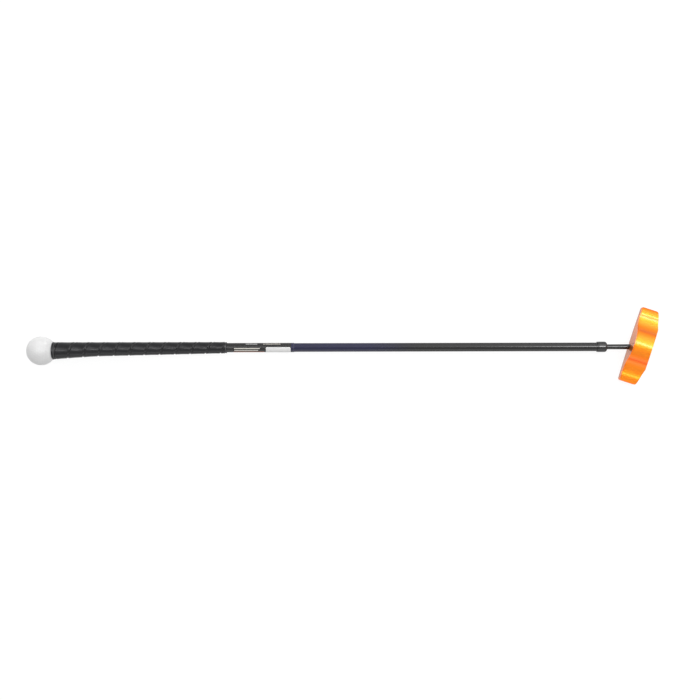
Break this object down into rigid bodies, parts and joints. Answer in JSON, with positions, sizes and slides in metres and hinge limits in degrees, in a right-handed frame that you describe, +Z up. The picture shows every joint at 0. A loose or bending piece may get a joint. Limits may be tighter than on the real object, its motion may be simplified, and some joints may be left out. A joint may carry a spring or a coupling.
{
  "type": "golf putter",
  "caption": "Golf putter with an orange scalloped head, thin black stem, black shaft and wound grip with a ball held in the cup at its butt.",
  "frame": {"origin": "middle of the bounding box's underside, on the surface that the club lies on, face down", "axes": "+X from the butt of the grip to the head, +Y towards the toe, +Z up, away from the striking face"},
  "size_m": [0.9398, 0.1156, 0.0427],
  "materials": {
    "orange_anodised": "bright anodised orange, finely milled",
    "weight_steel": "turned stainless steel",
    "black_chrome": "black chrome, polished",
    "screw_steel": "plain steel",
    "bush_bronze": "turned bronze",
    "shaft_paint": "satin black with a midnight blue tint below the grip",
    "band_film": "charcoal printed film",
    "grip_rubber": "moulded black rubber",
    "grip_tape": "soft charcoal polyurethane tape with pressed edges",
    "cup_rubber": "glossy soft black rubber",
    "ball_cover": "white moulded cover with dimples",
    "ball_core": "moulded rubber core"
  },
  "bodies": {
    "club": {"head_body": "orange_anodised", "toe_weight": "weight_steel", "heel_weight": "weight_steel", "hosel_stem": "black_chrome", "stem_screw": "screw_steel", "shaft_collar": "black_chrome", "stem_collet": "bush_bronze", "tip_bush": "bush_bronze", "shaft_tube": "shaft_paint", "shaft_band": "band_film", "grip_underlisting": "grip_rubber", "grip_wrap": "grip_tape", "butt_cap": "grip_rubber", "pickup_cup": "cup_rubber", "cup_screw": "screw_steel"},
    "ball": {"ball_core": "ball_core", "ball_cover_back": "ball_cover", "ball_cover_front": "ball_cover"}
  },
  "joints": [
    {"name": "ball_pull_off", "type": "slide", "parent": "club", "child": "ball", "axis": [-0.9999, 0, 0.0129], "range_m": [0, 0.025]}
  ]
}
